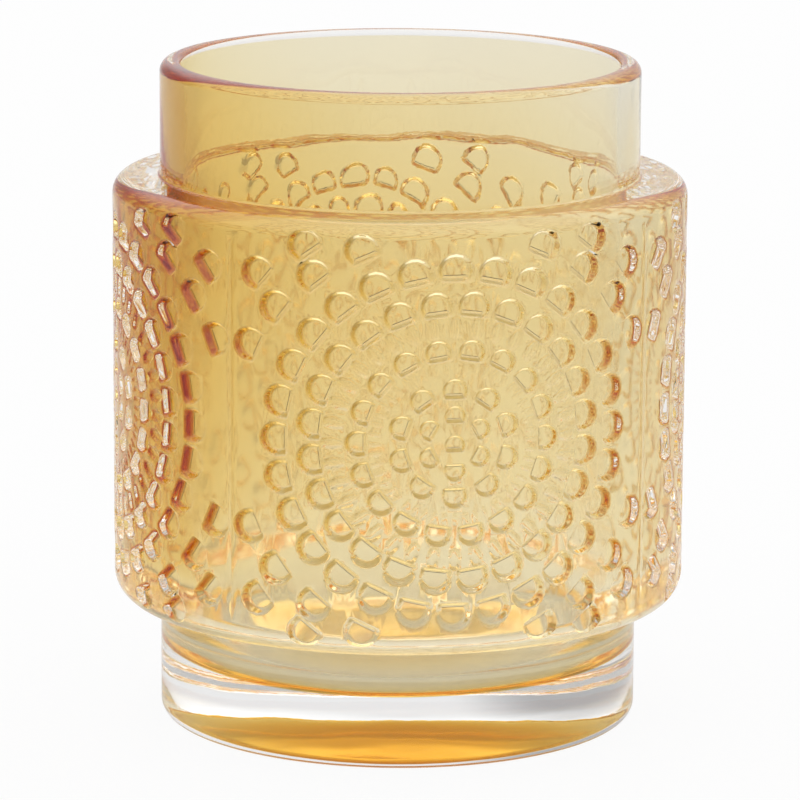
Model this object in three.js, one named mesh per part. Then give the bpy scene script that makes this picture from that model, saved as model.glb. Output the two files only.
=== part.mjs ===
// Tealight holder of blown, cased glass: a clear casing over an amber lining.
// Both layers are bodies of revolution about Z. The holder stands on Z = 0; millimetres, +Z up.
import * as THREE from "three";

// Outside.
const height = 91; // foot to lip
const footRadius = 32.9; // plain cylinder below the body
const bodyRadius = 39.3; // at the unpressed surface round the relief
const neckRadius = 32.8; // plain collar above the body
const undersideZ = 16.8; // where the body springs from the foot
const shoulderZ = 75.4; // where the neck springs from the shoulder
const footEdge = 1.7; // rounding under the foot
const undersideEdge = 3.6; // rounding of the body's lower corner
const shoulderEdge = 2.4; // rounding of the body's upper corner
const hollowRadius = 27.5; // shallow dish under the foot, inside the ring it stands on
const hollowDepth = 2; // at the middle of the dish
const hollowRings = 5;

// The cup inside.
const cupFloorZ = 8.7; // where a tealight stands
const cupFootRadius = 29.2; // the narrow part of the cup, in the foot
const cupFootRise = 9.8; // from the floor to where the cup widens
const cupBodyRadius = 30.2; // the wide part of the cup, in the body
const cupWidening = 5.5; // height in which it widens
const cupShoulderZ = 68.8; // where it starts to narrow again
const cupNarrowing = 5.2; // height in which it narrows
const cupNeckRadius = 29.9; // the mouth
const cupFloorRound = 7;
const cupFlareRound = 18;
const cupBodyRound = 18;
const cupThroatRound = 18;

// The two layers.
const liningWall = 1.1; // amber glass round the cup
const liningFloor = 1.2; // amber glass under the cup
const layerGap = 0.3; // clearance kept between the layers
const outerLip = 1.5; // rounding of the lip's outer half
const innerLip = 0.8; // rounding of the lip's inner half

const turns = 48; // flats round the axis
const cornerSteps = 4; // flats on a rounded corner

const clearGlass = new THREE.MeshStandardMaterial({
  name: "clear_glass",
  color: 0xe9ece9,
  roughness: 0.04,
  metalness: 0,
  transparent: true,
  opacity: 0.35,
});
const amberGlass = new THREE.MeshStandardMaterial({
  name: "amber_glass",
  color: 0xe0b25a,
  roughness: 0.05,
  metalness: 0,
  transparent: true,
  opacity: 0.5,
});

// Arc of the given radius that meets the two straight runs at a corner without a kink.
function cornerArc(before, at, after, round) {
  const towardsBefore = before.clone().sub(at).normalize();
  const towardsAfter = after.clone().sub(at).normalize();
  const halfAngle = towardsBefore.angleTo(towardsAfter) / 2;
  const bisector = towardsBefore.clone().add(towardsAfter).normalize();
  const centre = at.clone().addScaledVector(bisector, round / Math.sin(halfAngle));
  const reach = round / Math.tan(halfAngle);
  const start = at.clone().addScaledVector(towardsBefore, reach).sub(centre);
  const end = at.clone().addScaledVector(towardsAfter, reach).sub(centre);
  const sweep = Math.atan2(start.cross(end), start.dot(end));
  const points = [];
  for (let step = 0; step <= cornerSteps; step += 1) {
    const turned = start.clone().rotateAround(new THREE.Vector2(), (sweep * step) / cornerSteps);
    points.push(turned.add(centre));
  }
  return points;
}

// Profile through corners given as [radius, height, rounding]; no rounding means a sharp corner.
function roundedProfile(corners) {
  const sharp = corners.map(([radius, level]) => new THREE.Vector2(radius, level));
  return corners.flatMap(([, , round], index) =>
    round ? cornerArc(sharp[index - 1], sharp[index], sharp[index + 1], round) : [sharp[index]],
  );
}

// Corners of the cup's face, or of a face further out in the wall and lower under the floor.
function cupCorners(outBy, lowerBy, topRound) {
  const flareZ = cupFloorZ + cupFootRise;
  return [
    [0, cupFloorZ - lowerBy],
    [cupFootRadius + outBy, cupFloorZ - lowerBy, cupFloorRound + outBy],
    [cupFootRadius + outBy, flareZ, cupFlareRound - outBy],
    [cupBodyRadius + outBy, flareZ + cupWidening, cupBodyRound + outBy],
    [cupBodyRadius + outBy, cupShoulderZ, cupBodyRound + outBy],
    [cupNeckRadius + outBy, cupShoulderZ + cupNarrowing, cupThroatRound - outBy],
    [cupNeckRadius + outBy, height, topRound],
  ];
}

// Solid of revolution of a closed profile that starts and ends on the axis.
function turnedSolid(name, profile, material) {
  const mesh = new THREE.Mesh(new THREE.LatheGeometry(profile, turns), material);
  mesh.name = name;
  mesh.rotation.x = Math.PI / 2; // the lathe's own axis is Y
  return mesh;
}

// The dish under the foot, from its middle out to the ring the holder stands on.
function footHollow() {
  return Array.from({ length: hollowRings + 1 }, (_, ring) => {
    const share = ring / hollowRings;
    return [hollowRadius * share, hollowDepth * (1 - share ** 2)];
  });
}

// Clear outer layer: the foot's solid puck, the body, the shoulder, the neck and the outer lip.
function clearCasing() {
  const outside = [
    ...footHollow(),
    [footRadius, 0, footEdge],
    [footRadius, undersideZ],
    [bodyRadius, undersideZ, undersideEdge],
    [bodyRadius, shoulderZ, shoulderEdge],
    [neckRadius, shoulderZ],
    [neckRadius, height, outerLip],
  ];
  const inside = cupCorners(liningWall + layerGap, liningFloor + layerGap, 0);
  return turnedSolid("clear_casing", roundedProfile([...outside, ...inside.reverse()]), clearGlass);
}

// Amber inner layer: the cup itself, from its floor to the inner lip.
function amberLining() {
  const back = cupCorners(liningWall, liningFloor, 0);
  const face = cupCorners(0, 0, innerLip);
  return turnedSolid("amber_lining", roundedProfile([...back, ...face.reverse()]), amberGlass);
}

const holder = new THREE.Group();
holder.add(clearCasing());
holder.add(amberLining());

export default holder;
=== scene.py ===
import bpy
from math import atan2, cos, exp, pi, radians, sin
from mathutils import Matrix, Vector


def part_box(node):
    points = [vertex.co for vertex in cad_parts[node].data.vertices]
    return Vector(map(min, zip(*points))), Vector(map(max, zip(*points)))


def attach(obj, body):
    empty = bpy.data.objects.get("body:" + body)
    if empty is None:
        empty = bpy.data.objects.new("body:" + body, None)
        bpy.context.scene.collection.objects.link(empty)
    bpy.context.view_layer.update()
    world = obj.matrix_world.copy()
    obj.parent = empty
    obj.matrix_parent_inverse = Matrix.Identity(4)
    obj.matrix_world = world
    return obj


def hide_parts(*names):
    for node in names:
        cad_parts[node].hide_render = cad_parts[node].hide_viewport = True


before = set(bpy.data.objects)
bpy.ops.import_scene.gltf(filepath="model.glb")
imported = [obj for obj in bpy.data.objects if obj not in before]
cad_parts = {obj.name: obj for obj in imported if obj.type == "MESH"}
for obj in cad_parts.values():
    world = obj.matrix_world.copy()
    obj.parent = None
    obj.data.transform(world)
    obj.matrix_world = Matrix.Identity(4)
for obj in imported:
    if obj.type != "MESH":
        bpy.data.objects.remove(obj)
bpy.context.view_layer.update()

mm = 0.001
touch = 0.01 * mm  # nearer than this counts as the same place
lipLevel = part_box("clear_casing")[1][2] / mm


# hand tools

def clearSelection():
    if bpy.context.object and bpy.context.object.mode != "OBJECT":
        bpy.ops.object.mode_set(mode="OBJECT")
    bpy.ops.object.select_all(action="DESELECT")


def pick(piece):
    clearSelection()
    piece.select_set(True)
    bpy.context.view_layer.objects.active = piece
    return piece


def choose(piece, kind, wanted):
    # opens the piece in edit mode with only the wanted vertices, edges or faces selected
    pick(piece)
    mesh = piece.data
    for parts in (mesh.vertices, mesh.edges, mesh.polygons):
        parts.foreach_set("select", [False] * len(parts))
    parts = {"VERT": mesh.vertices, "EDGE": mesh.edges, "FACE": mesh.polygons}[kind]
    parts.foreach_set("select", [bool(wanted(part)) for part in parts])
    bpy.ops.object.mode_set(mode="EDIT")
    bpy.ops.mesh.select_mode(type=kind)


def done():
    bpy.ops.object.mode_set(mode="OBJECT")


def named(piece, name):
    piece.name = name
    piece.data.name = name
    return piece


def settle(piece):
    pick(piece)
    bpy.ops.object.transform_apply(location=True, rotation=True, scale=True)
    return piece


def finishWith(piece, kind, **values):
    pick(piece)
    step = piece.modifiers.new(kind.lower(), kind)
    for key, value in values.items():
        setattr(step, key, value)
    bpy.ops.object.modifier_apply(modifier=step.name)
    return piece


def copyOf(piece, name):
    twin = piece.copy()
    twin.data = piece.data.copy()
    bpy.context.collection.objects.link(twin)
    return named(twin, name)


def joined(pieces, name):
    clearSelection()
    for piece in pieces:
        piece.select_set(True)
    bpy.context.view_layer.objects.active = pieces[0]
    bpy.ops.object.join()
    return named(bpy.context.object, name)


def turned(name, rings, segments):
    # rings: radius, level, rounding, cuts, share of the seam; in mm, from one closed end to the other
    first = rings[0]
    clearSelection()
    bpy.ops.mesh.primitive_circle_add(vertices=segments, radius=first[0] * mm, fill_type="NGON",
                                      location=(0, 0, first[1] * mm))
    piece = settle(named(bpy.context.object, name))
    piece.vertex_groups.new(name="seam")
    choose(piece, "FACE", lambda face: True)
    bpy.context.scene.tool_settings.vertex_group_weight = first[4]
    bpy.ops.object.vertex_group_assign()
    for before, after in zip(rings, rings[1:]):
        bpy.ops.mesh.extrude_region_move(TRANSFORM_OT_translate={
            "value": (0, 0, (after[1] - before[1]) * mm)})
        grow = after[0] / before[0]
        bpy.ops.transform.resize(value=(grow, grow, 1), center_override=(0, 0, 0))
        bpy.context.scene.tool_settings.vertex_group_weight = after[4]
        bpy.ops.object.vertex_group_assign()
    done()
    for radius, level, rounding, cuts, _ in rings:
        if not rounding:
            continue
        near = [(v.co.z - level * mm, v.co.xy.length - radius * mm) for v in piece.data.vertices]
        onRing = [abs(up) < 2 * touch and abs(out) < 2 * touch for up, out in near]
        choose(piece, "EDGE", lambda edge: onRing[edge.vertices[0]] and onRing[edge.vertices[1]])
        bpy.ops.mesh.bevel(offset=rounding * mm, segments=cuts, affect="EDGES")
        done()
    return outwards(piece)


def outwards(piece):
    # a thin shell can come out inside out, so its widest face decides
    choose(piece, "FACE", lambda face: True)
    bpy.ops.mesh.normals_make_consistent(inside=False)
    done()
    widest = max(piece.data.polygons, key=lambda face: face.center.xy.length)
    if widest.normal.xy.dot(widest.center.xy) < 0:
        choose(piece, "FACE", lambda face: True)
        bpy.ops.mesh.flip_normals()
        done()
    return piece


def sharpest(piece, angle):
    pick(piece)
    bpy.ops.object.shade_smooth_by_angle(angle=radians(angle))
    return piece


# the two layers, in mm

shell = {
    "segments": 256,
    "air": 0.03,  # between the fused faces
    "endGap": 0.01,  # share of the seam's own depth kept free where the amber ends
    "swells": 0.99, "belongs": 0.45,  # seam weights above which a ring moves, and above which it counts
    "smoothBelow": 50,  # degrees
}
cuts = {  # flats on each rounding
    "footEdge": 6, "join": 3, "undersideEdge": 8, "shoulderEdge": 7, "lip": 6,
    "floorEdge": 10, "cup": 8,
}
amberWall = {  # how the amber's thickness runs round and up the cup
    # level and thickness
    "atLevel": [(14, 0.22), (22, 0.38), (34, 1.0), (58, 1.0), (68, 0.8), (78, 0.6), (90, 0.42)],
    # painted shade and painted reflection: the amber is made thicker at the front left, so that side reads
    # darker, and thinner at the front right, standing in for the pale reflection of a light panel there
    # degrees round from +X, extra thickness, half-width in degrees
    "shadingSwells": [(200, 0.55, 38), (205, 0.3, 110), (322, -0.45, 42)],
    "shadingSwellsFrom": 18, "shadingSwellsTo": 34,
    "least": 0.12,
}
casingShape = {
    "hollowRadius": 27.5, "hollowDepth": 2.0, "hollowRings": 14,
    "footRadius": 32.9, "footEdge": 1.7,
    "underside": 16.8, "undersideEdge": 3.6,
    "bodyRadius": 39.3, "wallRings": 16,
    "shoulder": 75.4, "shoulderEdge": 2.4,
    "neckRadius": 32.8, "lipEdge": 1.45,
    "join": 0.4,  # small rounding where neck and foot meet the body
}
cupShape = {
    "floor": 8.7, "floorEdge": 7.0, "footRadius": 29.2,
    "flare": 18.5, "flareEdge": 2.4,
    "bodyRadius": 30.2, "bodyLow": 24.0, "bodyLowEdge": 2.4, "bodyTop": 68.8, "bodyTopEdge": 2.2,
    "neckRadius": 29.9, "throat": 74.0, "throatEdge": 2.2, "lipEdge": 0.75,
    "amberEnds": 0.85,  # below the lip
    "wall": 0.22, "underFloor": 0.32,  # the amber before it is swelled
    "floorLens": 0.75, "lensRadius": 22.0,  # how far the amber bulges down under the floor
    "lensRings": (2.0, 6.0, 10.0, 14.0, 18.0, 21.0),
    "dish": [(14.0, 0.05), (2.0, 0.0)],  # radius and rise of the floor's slight hollow
}


def seamRings(out, drop):
    # from the middle of the floor up to the lip, along the face between the layers
    c = cupShape
    under = []
    for radius in c["lensRings"]:
        bulge = c["floorLens"] * (1 - (radius / c["lensRadius"]) ** 2)
        under.append((radius, c["floor"] - drop - bulge, 0, 0, 1))
    end = lipLevel - c["amberEnds"] - drop * shell["endGap"]
    return under + [
        (c["footRadius"] + out, c["floor"] - drop, c["floorEdge"] + out, cuts["floorEdge"], 1),
        (c["footRadius"] + out, c["flare"], c["flareEdge"], cuts["cup"], 1),
        (c["bodyRadius"] + out, c["bodyLow"], c["bodyLowEdge"], cuts["cup"], 1),
        (c["bodyRadius"] + out, c["bodyTop"], c["bodyTopEdge"], cuts["cup"], 1),
        (c["neckRadius"] + out, c["throat"], c["throatEdge"], cuts["cup"], 1),
        (c["neckRadius"] + out, end, 0, 0, 1),
        (c["neckRadius"], end, 0, 0, 0.5),
    ]


def amberThickness(angle, level):
    a = amberWall
    thick = a["atLevel"][0][1]
    for (low, before), (high, after) in zip(a["atLevel"], a["atLevel"][1:]):
        thick += (after - before) * min(1, max(0, (level - low) / (high - low)))
    rise = min(1, max(0, (level - a["shadingSwellsFrom"]) / (a["shadingSwellsTo"] - a["shadingSwellsFrom"])))
    # painted shade and painted reflection: thicker amber darkens the left, thinner amber paints the pale
    # reflection at the front right
    for direction, extra, width in a["shadingSwells"]:
        away = (angle - radians(direction) + pi) % (2 * pi) - pi
        thick += extra * rise * exp(-(away / radians(width)) ** 2)
    return max(a["least"], thick)


def swellSeam(piece):
    # moves the seam out or in until the amber has its thickness at every place
    group = piece.vertex_groups["seam"].index
    for v in piece.data.vertices:
        if not any(g.group == group and g.weight > shell["swells"] for g in v.groups):
            continue
        level = v.co.z / mm
        if level < amberWall["atLevel"][0][0]:
            continue
        extra = amberThickness(atan2(v.co.y, v.co.x), level) - cupShape["wall"]
        v.co.xy += v.co.xy.normalized() * extra * mm
    return piece


def onSeam(piece):
    # says of each face whether it is part of the seam
    group = piece.vertex_groups["seam"].index
    inside = []
    for v in piece.data.vertices:
        inside.append(any(g.group == group and g.weight > shell["belongs"] for g in v.groups))
    return [all(inside[i] for i in face.vertices) for face in piece.data.polygons]


def makeCasing():
    c = casingShape
    hollow = []
    for step in range(1, c["hollowRings"] + 1):
        share = step / c["hollowRings"]
        hollow.append((c["hollowRadius"] * share, c["hollowDepth"] * (1 - share ** 2), 0, 0, 0))
    low, high = c["underside"] + c["undersideEdge"], c["shoulder"] - c["shoulderEdge"]
    wall = []
    for step in range(1, c["wallRings"]):
        wall.append((c["bodyRadius"], low + (high - low) * step / c["wallRings"], 0, 0, 0))
    outside = hollow + [
        (c["footRadius"], 0.0, c["footEdge"], cuts["footEdge"], 0),
        (c["footRadius"], c["underside"], c["join"], cuts["join"], 0),
        (c["bodyRadius"], c["underside"], c["undersideEdge"], cuts["undersideEdge"], 0),
        *wall,
        (c["bodyRadius"], c["shoulder"], c["shoulderEdge"], cuts["shoulderEdge"], 0),
        (c["neckRadius"], c["shoulder"], c["join"], cuts["join"], 0),
        (c["neckRadius"], lipLevel, c["lipEdge"], cuts["lip"], 0),
        (cupShape["neckRadius"], lipLevel, cupShape["lipEdge"], cuts["lip"], 0),
    ]
    seam = seamRings(cupShape["wall"] + shell["air"], cupShape["underFloor"] + shell["air"])
    return swellSeam(turned("casing", outside + seam[::-1], shell["segments"]))


def makeLining():
    c = cupShape
    face = [
        (c["neckRadius"], c["throat"], c["throatEdge"], cuts["cup"], 0),
        (c["bodyRadius"], c["bodyTop"], c["bodyTopEdge"], cuts["cup"], 0),
        (c["bodyRadius"], c["bodyLow"], c["bodyLowEdge"], cuts["cup"], 0),
        (c["footRadius"], c["flare"], c["flareEdge"], cuts["cup"], 0),
        (c["footRadius"], c["floor"], c["floorEdge"], cuts["floorEdge"], 0),
        *[(radius, c["floor"] + rise, 0, 0, 0) for radius, rise in c["dish"]],
    ]
    seam = seamRings(c["wall"], c["underFloor"])
    return swellSeam(turned("lining", seam + face, shell["segments"]))


# relief: cutters for one pocket and one flute, copied into a medallion and bent round the body

pocket = {
    "points": 16, "width": 4.1, "straight": 1.25,  # straight: how far the flat side is from the middle
    "corner": 0.35,  # how far the two ends of the flat side are pulled in
    "root": 0.3, "above": 0.03,  # the cutter's plain root, and how far above the glass it ends
    "skirt": 0.44,  # extra all round at the root, for the rounded brim
    # each step goes in by the first figure and down by the second
    "steps": [(0.22, 0.12), (0.16, 0.16), (0.2, 0.38), (0.2, 0.32), (0.26, 0.12)],
}
flute = {
    "points": 8, "root": 0.26, "above": 0.04,
    # each step goes in by a share of the width and down by a share of the depth
    "steps": [(0.1, 0.3), (0.1, 0.4), (0.12, 0.3)],
}
medallion = {
    "middle": 46.0,  # level of its centre
    "stretch": 1.05,  # a little wider than high
    "rings": [  # count, first angle, radius, size
        (6, 90, 3.9, 0.62),
        (10, 90, 7.3, 0.74),
        (18, 80, 12.5, 0.78),
        (24, 82.5, 18.6, 0.95),
        (28, 90, 23.3, 1.02),
    ],
    # angle and radius of those that fill one corner; the other three corners mirror it
    "corners": [(65.2, 28.5), (50.8, 28.7), (37.3, 29.3), (24.6, 29.8), (53.6, 32.6), (40.5, 34.0)],
    "cornerSize": 1.02,
    "centre": (90, 0.0, 0.6),  # angle, radius, size
    "depth": (0.55, 0.45),  # part of a pocket's depth that stays, and part that follows its size
    "flutes": [  # count, first angle, radius, length, width, depth
        (48, 0, 10.1, 2.0, 0.9, 0.14),
        (36, 0, 15.5, 3.4, 2.1, 0.44),
    ],
}


def drawnOut(piece, shape, width, depth):
    # makes a flat outline into a cutter: a plain root above the glass, then steps inwards and down
    choose(piece, "VERT", lambda v: True)
    bpy.ops.transform.translate(value=(0, 0, -(shape["root"] + shape["above"]) * mm))
    bpy.ops.mesh.extrude_region_move(TRANSFORM_OT_translate={"value": (0, 0, shape["root"] * mm)})
    for inward, down in shape["steps"]:
        bpy.ops.mesh.inset(thickness=inward * width * mm, depth=down * depth * mm)
    # it is built upwards, and turned over to point into the glass
    bpy.ops.mesh.select_all(action="SELECT")
    bpy.ops.transform.resize(value=(1, 1, -1), center_override=(0, 0, 0))
    bpy.ops.mesh.normals_make_consistent(inside=False)
    done()
    return piece


def makePocket():
    p = pocket
    w = p["width"] / 2 + p["skirt"]
    clearSelection()
    bpy.ops.mesh.primitive_circle_add(vertices=p["points"], radius=w * mm, fill_type="NGON")
    piece = named(bpy.context.object, "pocketCutter")
    low = -(p["straight"] + p["skirt"]) * mm
    # the lower half is flattened, and the ends of the flat side pulled in
    choose(piece, "VERT", lambda v: v.co.y < -touch)
    bpy.ops.transform.resize(value=(1, 0, 1), center_override=(0, low, 0))
    done()
    choose(piece, "VERT", lambda v: v.co.y < low * 0.9 and abs(v.co.x) > w * 0.8 * mm)
    bpy.ops.transform.translate(value=(0, p["corner"] * mm, 0))
    done()
    choose(piece, "VERT", lambda v: True)
    centre = (low + w * mm) / 2
    bpy.ops.transform.translate(value=(0, -centre, 0))
    done()
    return drawnOut(piece, pocket, 1, 1)


def makeFlute(length, width, depth):
    clearSelection()
    bpy.ops.mesh.primitive_circle_add(vertices=flute["points"], radius=width * mm / 2, fill_type="NGON")
    piece = named(bpy.context.object, "fluteCutter")
    for end in (-1, 1):
        choose(piece, "VERT", lambda v: v.co.y * end > touch)
        bpy.ops.transform.translate(value=(0, end * (length - width) * mm / 2, 0))
        done()
    return drawnOut(piece, flute, width, depth)


def placeRound(pattern, name, angle, radius, size):
    # stands a copy on a ring of the medallion, its straight side towards the centre
    twin = copyOf(pattern, name)
    turn = Matrix.Rotation(radians(angle - 90), 4, "Z")
    stays, follows = medallion["depth"]
    twin.matrix_world = turn @ Matrix.Translation((0, radius * mm, 0)) @ Matrix.Diagonal(
        (size, size, stays + follows * size, 1))
    return twin


def makePockets():
    pattern = makePocket()
    parts = [placeRound(pattern, "pocket", *medallion["centre"])]
    for count, first, radius, size in medallion["rings"]:
        for index in range(count):
            parts.append(placeRound(pattern, "pocket", first + 360 * index / count, radius, size))
    for angle, radius in medallion["corners"]:
        for mirrored in (angle, 180 - angle, 180 + angle, -angle):
            parts.append(placeRound(pattern, "pocket", mirrored, radius, medallion["cornerSize"]))
    bpy.data.objects.remove(pattern)
    print("pockets:", len(parts))
    return settle(joined(parts, "pockets"))


def makeFlutes():
    parts = []
    for count, first, radius, length, width, depth in medallion["flutes"]:
        pattern = makeFlute(length, width, depth)
        for index in range(count):
            parts.append(placeRound(pattern, "flute", first + 360 * index / count, radius, 1.0))
        bpy.data.objects.remove(pattern)
    print("flutes:", len(parts))
    return settle(joined(parts, "flutes"))


def wrapped(flat):
    # four of the same laid out on one strip, stood up and bent round the body
    ground = casingShape["bodyRadius"]
    quarter = pi / 2 * ground * mm
    strip = []
    for place in (-1, 0, 1, 2):
        twin = copyOf(flat, "medallion%d" % place)
        twin.matrix_world = Matrix.Translation((place * quarter, 0, 0)) @ Matrix.Diagonal(
            (medallion["stretch"], 1, 1, 1))
        strip.append(twin)
    bpy.data.objects.remove(flat)
    relief = settle(joined(strip, "relief"))
    relief.matrix_world = Matrix.Rotation(radians(90), 4, "X")
    settle(relief)
    across = [v.co.x for v in relief.data.vertices]
    middle = (max(across) + min(across)) / 2
    width = max(across) - min(across)
    relief.matrix_world = Matrix.Translation((-middle, 0, 0))
    settle(relief)
    finishWith(relief, "SIMPLE_DEFORM", deform_method="BEND", deform_axis="Z", angle=width / (ground * mm))
    relief.matrix_world = (
        Matrix.Translation((0, 0, medallion["middle"] * mm))
        @ Matrix.Rotation(middle / (ground * mm), 4, "Z")
        @ Matrix.Translation((0, -ground * mm, 0)))
    return settle(relief)


mouldSeam = {"points": 8, "radius": 0.6, "stands": 0.03, "length": 50.0, "middle": 46.2}


def makeMouldSeams():
    # the mould's four joins, midway between the medallions
    bars = []
    c, m = casingShape, mouldSeam
    for index in range(4):
        clearSelection()
        bpy.ops.mesh.primitive_cylinder_add(vertices=m["points"], radius=m["radius"] * mm,
                                            depth=m["length"] * mm)
        bar = named(bpy.context.object, "mouldSeam")
        angle = radians(45 + 90 * index)
        away = (c["bodyRadius"] + m["stands"] - m["radius"]) * mm
        bar.matrix_world = Matrix.Translation((cos(angle) * away, sin(angle) * away, m["middle"] * mm))
        bars.append(settle(bar))
    return joined(bars, "mouldSeams")


def worked(body, other, operation):
    # the new faces take the glass of the piece that cuts or joins
    other.data.materials.append(clearGlass)
    finishWith(body, "BOOLEAN", operation=operation, solver="MANIFOLD", object=other)
    bpy.data.objects.remove(other)
    return body


# materials

def startMaterial(name):
    material = bpy.data.materials.new(name)
    material.use_nodes = True
    nodes = material.node_tree.nodes
    nodes.clear()
    out = nodes.new("ShaderNodeOutputMaterial")
    return material, nodes, material.node_tree.links, out


softness = {
    "waveDetail": 1.5, "rippleDetail": 3.0,
    "polishedAbove": 73.5, "dullBelow": 70.5,  # levels in mm
}


def softGlassGroup():
    # hand-made unevenness: slow waves, fine ripple, and a haze that stops at the shoulder
    group = bpy.data.node_groups.new("softGlass", "ShaderNodeTree")
    face = group.interface
    for name in ("Wave Scale", "Wave Depth", "Ripple Scale", "Ripple Depth", "Body Haze"):
        face.new_socket(name, in_out="INPUT", socket_type="NodeSocketFloat")
    for name in ("Height", "Roughness"):
        face.new_socket(name, in_out="OUTPUT", socket_type="NodeSocketFloat")
    nodes, links = group.nodes, group.links
    inlet = nodes.new("NodeGroupInput")
    outlet = nodes.new("NodeGroupOutput")
    place = nodes.new("ShaderNodeTexCoord")
    wave = nodes.new("ShaderNodeTexNoise")
    wave.inputs["Detail"].default_value = softness["waveDetail"]
    ripple = nodes.new("ShaderNodeTexNoise")
    ripple.inputs["Detail"].default_value = softness["rippleDetail"]
    links.new(place.outputs["Object"], wave.inputs["Vector"])
    links.new(place.outputs["Object"], ripple.inputs["Vector"])
    links.new(inlet.outputs["Wave Scale"], wave.inputs["Scale"])
    links.new(inlet.outputs["Ripple Scale"], ripple.inputs["Scale"])
    waveOut = nodes.new("ShaderNodeMath")
    waveOut.operation = "MULTIPLY"
    links.new(wave.outputs["Fac"], waveOut.inputs[0])
    links.new(inlet.outputs["Wave Depth"], waveOut.inputs[1])
    both = nodes.new("ShaderNodeMath")
    both.operation = "MULTIPLY_ADD"
    links.new(ripple.outputs["Fac"], both.inputs[0])
    links.new(inlet.outputs["Ripple Depth"], both.inputs[1])
    links.new(waveOut.outputs[0], both.inputs[2])
    links.new(both.outputs[0], outlet.inputs["Height"])
    # duller below the shoulder, fire-polished above it
    parts = nodes.new("ShaderNodeSeparateXYZ")
    links.new(place.outputs["Object"], parts.inputs[0])
    level = nodes.new("ShaderNodeMapRange")
    level.interpolation_type = "SMOOTHSTEP"
    level.inputs["From Min"].default_value = softness["polishedAbove"] * mm
    level.inputs["From Max"].default_value = softness["dullBelow"] * mm
    links.new(parts.outputs["Z"], level.inputs["Value"])
    haze = nodes.new("ShaderNodeMath")
    haze.operation = "MULTIPLY"
    links.new(level.outputs[0], haze.inputs[0])
    links.new(inlet.outputs["Body Haze"], haze.inputs[1])
    links.new(haze.outputs[0], outlet.inputs["Roughness"])
    return group


def glassShader(nodes, links, group, look):
    shader = nodes.new("ShaderNodeBsdfPrincipled")
    shader.inputs["Base Color"].default_value = look["colour"] + (1,)
    shader.inputs["Transmission Weight"].default_value = 1.0
    shader.inputs["Metallic"].default_value = 0.0
    shader.inputs["Roughness"].default_value = 0.0
    shader.inputs["IOR"].default_value = look["ior"]
    soft = nodes.new("ShaderNodeGroup")
    soft.node_tree = group
    for name, value in look["soft"].items():
        soft.inputs[name].default_value = value
    bump = nodes.new("ShaderNodeBump")
    bump.inputs["Strength"].default_value = look["bump"]
    bump.inputs["Distance"].default_value = look["bumpReach"] * mm
    links.new(soft.outputs["Height"], bump.inputs["Height"])
    links.new(bump.outputs["Normal"], shader.inputs["Normal"])
    if "Body Haze" in look["soft"]:
        links.new(soft.outputs["Roughness"], shader.inputs["Roughness"])
    return shader


clearLook = {
    "colour": (1.0, 1.0, 1.0), "ior": 1.5, "bump": 0.35, "bumpReach": 1.0,
    "soft": {"Wave Scale": 55.0, "Wave Depth": 0.8, "Ripple Scale": 420.0, "Ripple Depth": 0.02},
}
amberLook = {
    "colour": (1.0, 1.0, 1.0), "ior": 1.5, "bump": 0.3, "bumpReach": 1.0,
    "soft": {"Wave Scale": 70.0, "Wave Depth": 0.8, "Ripple Scale": 420.0, "Ripple Depth": 0.02,
             "Body Haze": 0.11},
    "tint": (0.925, 0.72, 0.0), "density": 700.0,  # per metre of glass
}


def makeClearGlass(group):
    material, nodes, links, out = startMaterial("clearGlass")
    shader = glassShader(nodes, links, group, clearLook)
    links.new(shader.outputs[0], out.inputs["Surface"])
    return material


def makeFusedFace():
    # where the clear glass meets the amber, light goes straight on
    material, nodes, links, out = startMaterial("fusedFace")
    shader = nodes.new("ShaderNodeBsdfTransparent")
    links.new(shader.outputs[0], out.inputs["Surface"])
    return material


def makeAmberGlass(group):
    material, nodes, links, out = startMaterial("amberGlass")
    shader = glassShader(nodes, links, group, amberLook)
    # the fused faces let light straight on, and the colour is in the depth of the glass
    clear = nodes.new("ShaderNodeBsdfTransparent")
    fused = nodes.new("ShaderNodeAttribute")
    fused.attribute_name = "fused"
    mix = nodes.new("ShaderNodeMixShader")
    links.new(fused.outputs["Fac"], mix.inputs["Fac"])
    links.new(shader.outputs[0], mix.inputs[1])
    links.new(clear.outputs[0], mix.inputs[2])
    links.new(mix.outputs[0], out.inputs["Surface"])
    body = nodes.new("ShaderNodeVolumeAbsorption")
    body.inputs["Color"].default_value = amberLook["tint"] + (1,)
    body.inputs["Density"].default_value = amberLook["density"]
    links.new(body.outputs[0], out.inputs["Volume"])
    return material


# makes

softGlass = softGlassGroup()
clearGlass = makeClearGlass(softGlass)
casing = makeCasing()
casing.data.materials.append(clearGlass)
casing.data.materials.append(makeFusedFace())
casing.data.polygons.foreach_set("material_index", [int(flag) for flag in onSeam(casing)])
print("casing turned:", len(casing.data.polygons), "faces")
casing = worked(casing, wrapped(makePockets()), "DIFFERENCE")
casing = worked(casing, wrapped(makeFlutes()), "DIFFERENCE")
casing = worked(casing, makeMouldSeams(), "UNION")
print("relief pressed:", len(casing.data.polygons), "faces")
lining = makeLining()
print("lining turned:", len(lining.data.polygons), "faces")
lining.data.materials.append(makeAmberGlass(softGlass))
mark = lining.data.attributes.new("fused", "FLOAT", "FACE")
mark.data.foreach_set("value", [float(flag) for flag in onSeam(lining)])
for piece in (casing, lining):
    sharpest(piece, shell["smoothBelow"])
finishWith(casing, "WEIGHTED_NORMAL", mode="FACE_AREA", weight=50, keep_sharp=True)
print("glass laid on and shaded")

layers = (
    (casing, "clear_casing", "clear_glass"),
    (lining, "amber_lining", "amber_glass"),
)
for piece, node, slot in layers:
    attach(piece, "root")
    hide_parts(node)


# floor, light and camera

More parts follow.
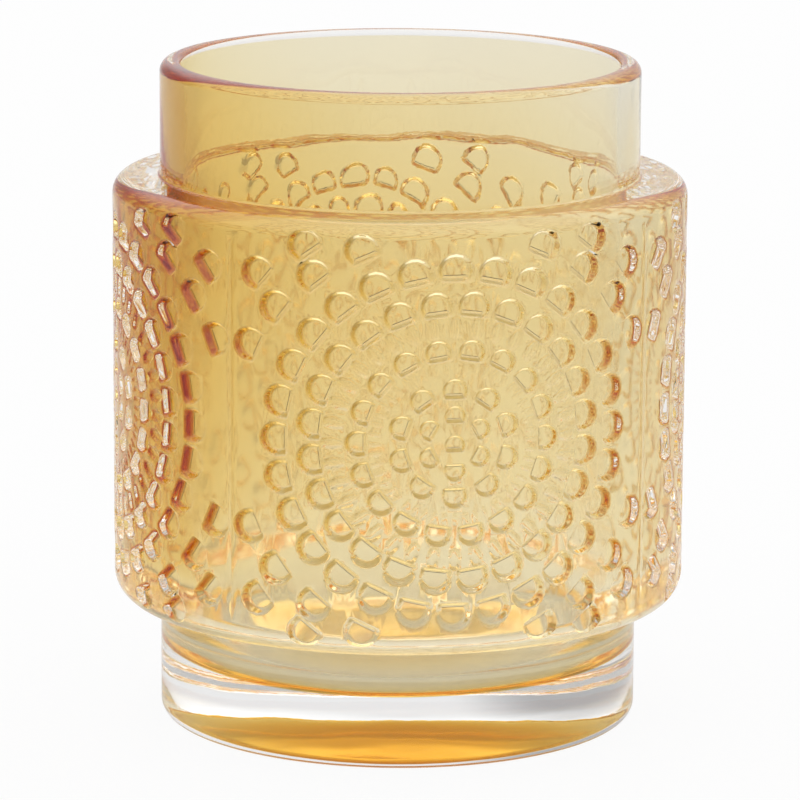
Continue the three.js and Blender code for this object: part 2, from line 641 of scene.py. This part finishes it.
studio = {
    "surround": 0.83, "overhead": 0.8, "white": 1.0,
    "overheadEdge": (0.2, 0.6),  # sine of the height angle where the brighter part starts and is full
    "darkSide": (122, 0.42),  # direction round from +X, and how much darker the room is there
    "darkEdge": (0.8, 0.95),  # cosine of the angle away from it where it starts and is full
    "floorTone": 0.55, "floorRough": 0.9, "floorSize": 4.0,
    "floorGlow": 0.93,  # how far the paper is burnt out where it is seen directly
    "floorPaintedPool": [(0.1, 0.36), (0.35, 0.06)],  # distance and painted glow, close to the glass and further off
    "acrossFloor": 169,  # direction round from +X in which the paper's sides lie
    # distance along it where the painted shade on the paper starts, where it ends, and what is left of its
    # tone
    "floorSideShade": [(0.11, 0.22, 0.78), (-0.16, -0.26, 0.86)],
}


def makeFloor():
    clearSelection()
    bpy.ops.mesh.primitive_plane_add(size=studio["floorSize"])
    floor = named(bpy.context.object, "floor")
    material, nodes, links, out = startMaterial("paleFloor")
    shader = nodes.new("ShaderNodeBsdfPrincipled")
    shader.inputs["Roughness"].default_value = studio["floorRough"]
    # painted shade: the paper is darker towards both sides
    place = nodes.new("ShaderNodeTexCoord")
    across = nodes.new("ShaderNodeVectorMath")
    across.operation = "DOT_PRODUCT"
    side = radians(studio["acrossFloor"])
    across.inputs[1].default_value = (cos(side), sin(side), 0)
    links.new(place.outputs["Object"], across.inputs[0])
    sideShades = []
    for start, end, tone in studio["floorSideShade"]:
        fade = nodes.new("ShaderNodeMapRange")
        fade.interpolation_type = "SMOOTHSTEP"
        fade.inputs["From Min"].default_value = start
        fade.inputs["From Max"].default_value = end
        fade.inputs["To Min"].default_value = 1.0
        fade.inputs["To Max"].default_value = tone
        links.new(across.outputs["Value"], fade.inputs["Value"])
        sideShades.append(fade)
    lit = nodes.new("ShaderNodeMath")
    lit.operation = "MULTIPLY"
    links.new(sideShades[0].outputs[0], lit.inputs[0])
    links.new(sideShades[1].outputs[0], lit.inputs[1])
    tone = nodes.new("ShaderNodeMath")
    tone.operation = "MULTIPLY"
    tone.inputs[1].default_value = studio["floorTone"]
    links.new(lit.outputs[0], tone.inputs[0])
    links.new(tone.outputs[0], shader.inputs["Base Color"])
    # painted light: for all rays but the camera's the paper glows, more strongly close to the glass, a
    # painted pool of light
    (near, nearGlow), (far, farGlow) = studio["floorPaintedPool"]
    away = nodes.new("ShaderNodeVectorMath")
    away.operation = "LENGTH"
    links.new(place.outputs["Object"], away.inputs[0])
    paintedPool = nodes.new("ShaderNodeMapRange")
    paintedPool.interpolation_type = "SMOOTHSTEP"
    paintedPool.inputs["From Min"].default_value = near
    paintedPool.inputs["From Max"].default_value = far
    paintedPool.inputs["To Min"].default_value = nearGlow
    paintedPool.inputs["To Max"].default_value = farGlow
    links.new(away.outputs["Value"], paintedPool.inputs["Value"])
    paintedPoolShare = nodes.new("ShaderNodeMath")
    paintedPoolShare.operation = "MULTIPLY"
    links.new(paintedPool.outputs[0], paintedPoolShare.inputs[0])
    links.new(lit.outputs[0], paintedPoolShare.inputs[1])
    # seen directly the paper is burnt out, as a lit sweep is
    glow = nodes.new("ShaderNodeEmission")
    glow.inputs["Strength"].default_value = studio["white"]
    path = nodes.new("ShaderNodeLightPath")
    share = nodes.new("ShaderNodeMapRange")
    share.inputs["To Max"].default_value = studio["floorGlow"]
    links.new(path.outputs["Is Camera Ray"], share.inputs[0])
    links.new(paintedPoolShare.outputs[0], share.inputs["To Min"])
    mix = nodes.new("ShaderNodeMixShader")
    links.new(share.outputs[0], mix.inputs["Fac"])
    links.new(shader.outputs[0], mix.inputs[1])
    links.new(glow.outputs[0], mix.inputs[2])
    links.new(mix.outputs[0], out.inputs["Surface"])
    floor.data.materials.append(material)


def makeWorld():
    world = bpy.data.worlds.new("studio")
    bpy.context.scene.world = world
    world.use_nodes = True
    nodes, links = world.node_tree.nodes, world.node_tree.links
    back = nodes["Background"]
    back.inputs["Color"].default_value = (1, 1, 1, 1)
    # a darker card stands to one side of the room
    angle, drop = studio["darkSide"]
    place = nodes.new("ShaderNodeTexCoord")
    facing = nodes.new("ShaderNodeVectorMath")
    facing.operation = "DOT_PRODUCT"
    facing.inputs[1].default_value = (cos(radians(angle)), sin(radians(angle)), 0)
    links.new(place.outputs["Generated"], facing.inputs[0])
    card = nodes.new("ShaderNodeMapRange")
    card.interpolation_type = "SMOOTHSTEP"
    start, full = studio["darkEdge"]
    card.inputs["From Min"].default_value = start
    card.inputs["From Max"].default_value = full
    card.inputs["To Max"].default_value = drop
    links.new(facing.outputs["Value"], card.inputs["Value"])
    fall = nodes.new("ShaderNodeMath")
    fall.operation = "SUBTRACT"
    fall.inputs[0].default_value = studio["surround"]
    links.new(card.outputs[0], fall.inputs[1])
    # and it is brighter overhead
    parts = nodes.new("ShaderNodeSeparateXYZ")
    links.new(place.outputs["Generated"], parts.inputs[0])
    above = nodes.new("ShaderNodeMapRange")
    above.interpolation_type = "SMOOTHSTEP"
    start, full = studio["overheadEdge"]
    above.inputs["From Min"].default_value = start
    above.inputs["From Max"].default_value = full
    above.inputs["To Max"].default_value = studio["overhead"]
    links.new(parts.outputs["Z"], above.inputs["Value"])
    both = nodes.new("ShaderNodeMath")
    both.operation = "ADD"
    links.new(fall.outputs[0], both.inputs[0])
    links.new(above.outputs[0], both.inputs[1])
    # seen directly it is plain white all round
    path = nodes.new("ShaderNodeLightPath")
    level = nodes.new("ShaderNodeMapRange")
    level.inputs["To Max"].default_value = studio["white"]
    links.new(path.outputs["Is Camera Ray"], level.inputs["Value"])
    links.new(both.outputs[0], level.inputs["To Min"])
    links.new(level.outputs[0], back.inputs["Strength"])


view = {
    "distance": 679.8, "height": 188.3,  # mm
    "turn": 10.86, "down": 11.947, "roll": 0.302,  # degrees
    "lens": 226.6, "sensor": 36.0, "shiftX": 0.0014, "shiftY": -0.0075,
    "nearest": 10.0,  # mm, closer than this isn't drawn
}


def makeCamera():
    lens = bpy.data.cameras.new("camera")
    lens.lens = view["lens"]
    lens.sensor_width = view["sensor"]
    lens.shift_x = view["shiftX"]
    lens.shift_y = view["shiftY"]
    lens.clip_start = view["nearest"] * mm
    camera = bpy.data.objects.new("camera", lens)
    bpy.context.collection.objects.link(camera)
    turn = radians(view["turn"])
    away = view["distance"] * mm
    camera.matrix_world = (
        Matrix.Translation((-sin(turn) * away, -cos(turn) * away, view["height"] * mm))
        @ Matrix.Rotation(-turn, 4, "Z")
        @ Matrix.Rotation(radians(90 - view["down"]), 4, "X")
        @ Matrix.Rotation(radians(view["roll"]), 4, "Z"))
    bpy.context.scene.camera = camera


lightPaths = {  # glass in glass takes many bounces
    "max_bounces": 40, "transmission_bounces": 40, "glossy_bounces": 16, "diffuse_bounces": 4,
    "transparent_max_bounces": 64,
    "caustics_refractive": True, "caustics_reflective": True,
    "use_denoising": True,
}


def setRender():
    scene = bpy.context.scene
    scene.view_settings.view_transform = "Standard"
    for key, value in lightPaths.items():
        setattr(scene.cycles, key, value)


makeFloor()
makeWorld()
makeCamera()
setRender()
print("floor, light and camera set")
